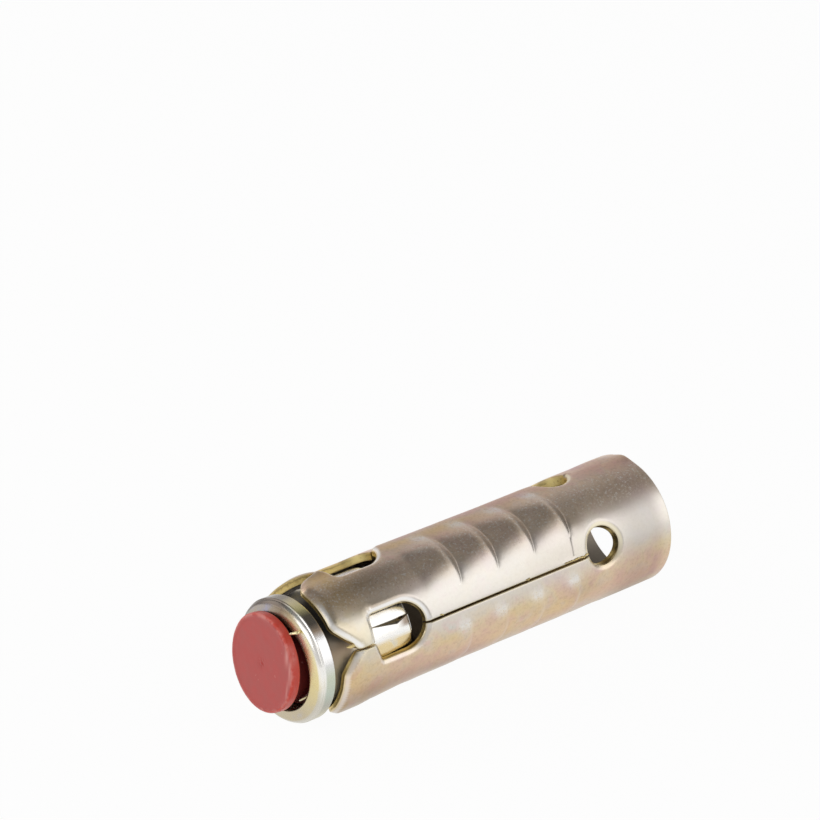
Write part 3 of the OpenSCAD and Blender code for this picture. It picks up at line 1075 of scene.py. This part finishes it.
# The mouth, the tips, the near leg's corner and the lowest leg. Painted shade
# dims the highlight near the mouth and darkens the near leg's corner, the tips
# get a patchy yellow film, and the lower legs are darker towards their tips
mouth_zone = f.band(deep, 0.3, 2.5, 5, 11)
f.shade((0.84, 0.83, 0.84), mouth_zone * (1 - f.between(around, 44, 60)))
f.shade((0.97, 0.92, 0.72), f.between(deep, 43, 50) * f.between(f.noise(3), 0.3, 0.55) * 0.8)
f.shade((0.6, 0.56, 0.46), f.between(deep, 45.5, 49) * f.between(around, 70, 84) * 0.9)
f.shade((0.8, 0.8, 0.84), f.between(deep, 43, 48) * (1 - f.between(around, -56, -25)) * 0.9)

# Painted highlight spots beside the barbs, scratched crests, fine mottling,
# painted glints in the dark reflection band, and patches of painted shade
f.coat((0.86, 0.87, 0.87), f.attribute("spot") * f.between(speck, 0.25, 0.5) * 0.9)
scratched = f.between(around, -1, 1) * f.between(scratch, 0.35, 0.6)
f.coat((0.8, 0.8, 0.78), f.attribute("crest") * 0.2 * scratched)
f.shade(f.ramp(f.noise(0.42, 4, 0.7), [
    (0.34, 0.7, 0.68, 0.66), (0.5, 0.95, 0.94, 0.93), (0.62, 1, 1, 1)]), 0.5 - 0.35 * highlight_band)
painted_glints = f.between(f.noise(0.3, 3, 0.7, 0, f.place(move=(0.005, 0.003, 0.001))), 0.52, 0.66)
f.coat((1, 0.96, 0.91), painted_glints * dark_reflection_band * 0.7)
f.shade((0.58, 0.55, 0.5), f.attribute("dull"))

# A painted highlight on the lip beside the cuts, the golden cut faces with
# painted glints, and painted shade on the inside
lip = f.attribute("lip") * (1 - 0.5 * (1 - f.between(around, -8, 2)))
round_hole = 1 - f.between(deep, 14, 15)
f.coat(f.blend((0.99, 0.98, 0.96), (0.98, 0.9, 0.68), round_hole), lip * 0.8)
f.coat((0.76, 0.66, 0.38), f.between(rim, 0.6, 0.85) * 0.5)
streaks = f.noise(0.3, 3, 0.6, 0, f.place(scale=(0.2, 1, 1)))
gold = f.ramp(f.attribute("layer") * 0.55 + streaks * 0.45, [
    (0.16, 0.86, 0.7, 0.36), (0.3, 0.66, 0.5, 0.2), (0.4, 0.34, 0.25, 0.11),
    (0.5, 0.64, 0.48, 0.18), (0.66, 0.8, 0.63, 0.26), (0.85, 0.5, 0.37, 0.15)])
glint = f.attribute("glint") * f.between(streaks, 0.2, 0.45)
f.coat(f.blend(gold, (0.98, 0.82, 0.36), glint), cut_face)
# Painted shade on the inner surface
f.coat((0.27, 0.24, 0.2), within * (1 - cut_face) * 0.9)
f.cover(sleeve, {
    "Metallic": 1 - glint * cut_face * 0.6,
    "Roughness": 0.24 + 0.12 * speck + 0.08 * cut_face + 0.12 * mouth_zone + 0.2 * within,
    "Normal": f.bump(speck * 0.6 + scratch * 0.4, 0.014, 0.6)})

# %% The nut's finish
f, share = plated("nut_zinc", [
    (0.36, 0.72, 0.66, 0.52), (0.44, 0.84, 0.79, 0.64), (0.5, 0.88, 0.85, 0.78),
    (0.57, 0.78, 0.82, 0.72), (0.66, 0.84, 0.76, 0.7)], 4)
neck, cone, ridge, lens, turn_at = (
    f.attribute(k) for k in ("neck", "cone", "ridge", "lens", "turn"))
speck = f.noise(0.2, 2, 0.6)
by_turn = (turn_at + 70) * (1 / 180)

# The front bevel, the collar's side and the ridge, which change with the turn:
# a painted highlight where the key lamp would show, painted shade above it,
# and the film's gold and pale green between
bevel = f.blend(f.tone, (0.96, 0.85, 0.52), f.between(f.noise(2), 0.3, 0.55) * 0.9)
f.coat(f.blend(bevel, f.ramp(by_turn, [
    (0.04, 0.58, 0.56, 0.62), (0.3, 0.8, 0.76, 0.62), (0.58, 1, 1, 1),
    (0.68, 0.8, 0.74, 0.72), (0.78, 0.36, 0.31, 0.34), (0.9, 0.46, 0.45, 0.58)]),
    1, "MULTIPLY"), f.attribute("front"))
f.coat(f.ramp(by_turn, [
    (0.07, 0.46, 0.42, 0.27), (0.16, 0.38, 0.37, 0.31), (0.24, 0.46, 0.52, 0.44),
    (0.33, 0.58, 0.63, 0.51), (0.4, 0.74, 0.73, 0.73), (0.53, 0.9, 0.9, 0.92),
    (0.57, 0.55, 0.4, 0.28), (0.61, 0.18, 0.15, 0.12), (0.66, 0.22, 0.19, 0.14),
    (0.71, 1, 0.9, 0.42), (0.78, 0.8, 0.7, 0.46), (0.84, 0.34, 0.3, 0.26)]),
    f.attribute("collar") * 0.9)
f.coat((0.95, 0.93, 0.9), ridge * f.band(turn_at, -40, 0, 44, 60) * 0.85)
f.coat((0.15, 0.12, 0.1), ridge * f.between(turn_at, 56, 76) * 0.95)
f.coat((0.6, 0.57, 0.5), ridge * (1 - f.between(turn_at, -42, -10)) * 0.85)

# The cone, with a painted highlight above, and golden film and a painted
# shadow below, and its ribs
f.coat((0.94, 0.93, 0.92), f.between(turn_at, -6, 4) * cone * 0.8)
under = f.band(turn_at, -34, -10, -4, 3) * cone
f.coat((0.78, 0.6, 0.3), under * f.between(share, 0.34, 0.46) * 0.85)
f.coat((0.24, 0.19, 0.11), f.band(turn_at, -40, -30, -15, -11.5) * cone * 0.8)
# Painted shade on each rib's long side
f.coat((0.16, 0.14, 0.1), f.attribute("wedge") * 0.95)
f.coat((0.25, 0.19, 0.14), f.attribute("brown") * 0.95)
# Painted highlight spot under the top window, less metallic so that it catches the lamps
f.coat((0.93, 0.84, 0.82), lens)

# The shaded neck and recess
f.coat(f.ramp(by_turn, [
    (0.05, 0.34, 0.31, 0.22), (0.33, 0.46, 0.4, 0.28), (0.42, 0.36, 0.26, 0.17),
    (0.5, 0.16, 0.13, 0.1), (0.57, 0.04, 0.035, 0.03)]), neck * 0.95)
f.coat((0.3, 0.26, 0.18), f.attribute("hollow") * 0.8)
f.cover(nut, {
    "Metallic": 1 - neck * 0.6 - lens * 0.6, "Roughness": 0.2 + 0.12 * speck + 0.2 * neck,
    "Normal": f.bump(speck, 0.01, 0.5)})

# %% [markdown]
# Moulded plastic.
# The dust plug is soft red plastic, and a little light enters it. Pale patches
# on its rim and face are painted highlights, and the rim is painted a brighter
# red than the face, as painted light. A picture of the marks could be laid over
# it, but marks worked out on the points stay on the moulded edges.

# %% Red plastic
f = Finish(bpy.data.materials.new("red_plastic"))
cloud = f.noise(1.8, 3, 0.6)
speck = f.noise(0.25, 2, 0.6)
moulded = f.blend((0.54, 0.068, 0.058), (0.51, 0.078, 0.068), f.between(cloud, 0.35, 0.65))
# Painted light: the rim is a brighter, more orange red than the face
f.tone = f.blend((0.66, 0.065, 0.04), moulded, f.between(f.attribute("face"), 0.2, 0.8))


def patchy_mark(name, size, low, high):
    """A mark's attribute, broken up by noise of about size mm."""
    return f.attribute(name) * f.between(f.noise(size, 3, 0.6), low, high)


# Painted highlights: a pale sheen round the face's edge, and pale patches near the edge and top
f.coat((0.82, 0.36, 0.32), patchy_mark("scuff", 1.1, 0.42, 0.6) * 0.5)
f.coat((0.8, 0.33, 0.29), patchy_mark("pale", 0.9, 0.2, 0.4) * 0.8)
f.coat((0.47, 0.04, 0.03), patchy_mark("gate", 0.5, 0.3, 0.6) * 0.9)
# Painted shade: the stem and the disc's back are nearly black
f.coat((0.09, 0.012, 0.013), f.attribute("stem") * 0.9)
flecks = f.between(f.noise(0.45, 1, 0.4, 0, f.place(move=(0.004, 0.001, 0.002))), 0.76, 0.82)
f.coat((0.72, 0.3, 0.28), flecks * 0.35)
f.cover(plug, {
    "Roughness": 0.28 + 0.15 * cloud, "Normal": f.bump(speck * 0.5 + cloud * 0.5, 0.03, 0.35),
    "Specular IOR Level": 0.5, "Subsurface Weight": 0.08, "Subsurface Radius": (0.001, 0.0004, 0.0003)})

# %% [markdown]
# The camera.
# The photograph's lens and standpoint were found from the tube itself: its two
# long edges, the ellipses of its ends, and the fact that it is straight. The
# camera is placed by its three directions rather than aimed at the plug, so
# the picture's framing is kept too.

# %% Camera
STANDPOINT = Vector((-281.98, -277.26, 190.0)) * MM
RIGHT = Vector((0.74664, -0.66523, 0.0))
UP = Vector((0.27057, 0.30369, 0.91355))
FORWARD = Vector((0.60772, 0.68209, -0.40674))
lens = bpy.data.cameras.new("camera")
lens.lens, lens.sensor_width = 158.05, 36.0
lens.clip_start, lens.clip_end = 0.01, 20.0
camera = add_object("camera", lens)
turn_of = Matrix((RIGHT, UP, -FORWARD)).transposed()
camera.matrix_world = Matrix.Translation(STANDPOINT) @ turn_of.to_4x4()
bpy.context.scene.camera = camera
print("the camera stands", round(camera.location.length / MM), "mm from the mouth")

# %% [markdown]
# Floor, light and surroundings.
# The plug lies on a plain white surface in soft studio light. Satin metal
# shows its surroundings, so what matters is where the pale and dark parts of
# the studio are. A large soft lamp low on the right gives the broad white band
# along the sleeve, a darker room above gives the brown band over it, and the
# white floor lights its lower half.

# %% Floor
FLOOR_HALF = 1.2
FLOOR_GAP = 0.02 * MM      # how far it lies below the plug's lowest point
low = cad_low.z - FLOOR_GAP
corners = [(x * FLOOR_HALF, y * FLOOR_HALF, low) for x, y in ((-1, -1), (1, -1), (1, 1), (-1, 1))]
floor_mesh = bpy.data.meshes.new("floor")
floor_mesh.from_pydata(corners, [], [(0, 1, 2, 3)])
floor = add_object("floor", floor_mesh)
floor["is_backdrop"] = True
f = Finish(bpy.data.materials.new("floor"))
to_camera, in_metal, through = (
    f.node("ShaderNodeLightPath", out=f"Is {kind} Ray") for kind in ("Camera", "Glossy", "Transmission"))
matt = f.node("ShaderNodeBsdfDiffuse", None, {"Color": (0.95, 0.95, 0.95, 1)})
white = f.node("ShaderNodeEmission", None, {"Color": (1, 1, 1, 1), "Strength": 1.0})
share = (to_camera + in_metal + through) * 0.96
f.close(f.node("ShaderNodeMixShader", None, {0: share, 1: matt, 2: white}))
floor.data.materials.append(f.owner)
print("the floor lies", round(low / MM, 2), "mm from the axis")

# %% Lamps and world
def softbox(name, direction, distance, width, height, level, tint=(1, 1, 1)):
    """A flat lamp that faces the plug's middle from a direction. Its power is
    its level of brightness times its area and pi."""
    lamp = bpy.data.lights.new(name, "AREA")
    lamp.shape, lamp.size, lamp.size_y = "RECTANGLE", width, height
    lamp.energy = level * width * height * math.pi
    lamp.color = tint
    thing = add_object(name, lamp)
    way = Vector(direction).normalized()
    thing.location = Vector((-0.027, 0, 0)) + way * distance
    thing.rotation_mode = "QUATERNION"
    thing.rotation_quaternion = (-way).to_track_quat("-Z", "Y")


softbox("key", (0.62, -0.72, 0.33), 0.45, 0.5, 0.3, 0.82, (0.98, 0.98, 0.98))
softbox("side", (-0.75, -0.15, 0.55), 0.5, 0.35, 0.35, 1.2)
softbox("back", (-0.45, 0.85, 0.5), 0.5, 0.4, 0.3, 1)
world = bpy.data.worlds.new("studio")
bpy.context.scene.world = world
sky = Finish(world)
way = sky.node("ShaderNodeTexCoord", out="Generated")
along = sky.node("ShaderNodeSeparateXYZ", None, {0: way}, out=0)
height = sky.node("ShaderNodeSeparateXYZ", None, {0: way}, out=2)
sky.tone = sky.ramp(height * 0.5 + 0.5, [
    (0.5, 0.62, 0.61, 0.61), (0.69, 0.61, 0.6, 0.59), (0.78, 0.55, 0.54, 0.53),
    (0.845, 0.5, 0.49, 0.48), (0.87, 0.3, 0.3, 0.3), (0.886, 0.165, 0.165, 0.165),
    (0.915, 0.15, 0.15, 0.15), (1, 0.3, 0.3, 0.3)])
sky.shade((0.3, 0.3, 0.3), sky.between(along, 0.72, 0.95))
sky.coat((1, 1, 1), sky.node("ShaderNodeLightPath", out="Is Camera Ray"))
backdrop = sky.node("ShaderNodeBackground", None, {"Color": sky.tone, "Strength": 1})
sky.close(backdrop, "ShaderNodeOutputWorld")
bpy.context.scene.view_settings.view_transform = "Standard"

# %% Sizes, and the end
low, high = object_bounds()
print("visual size in mm:", [round(v / MM, 2) for v in high - low])
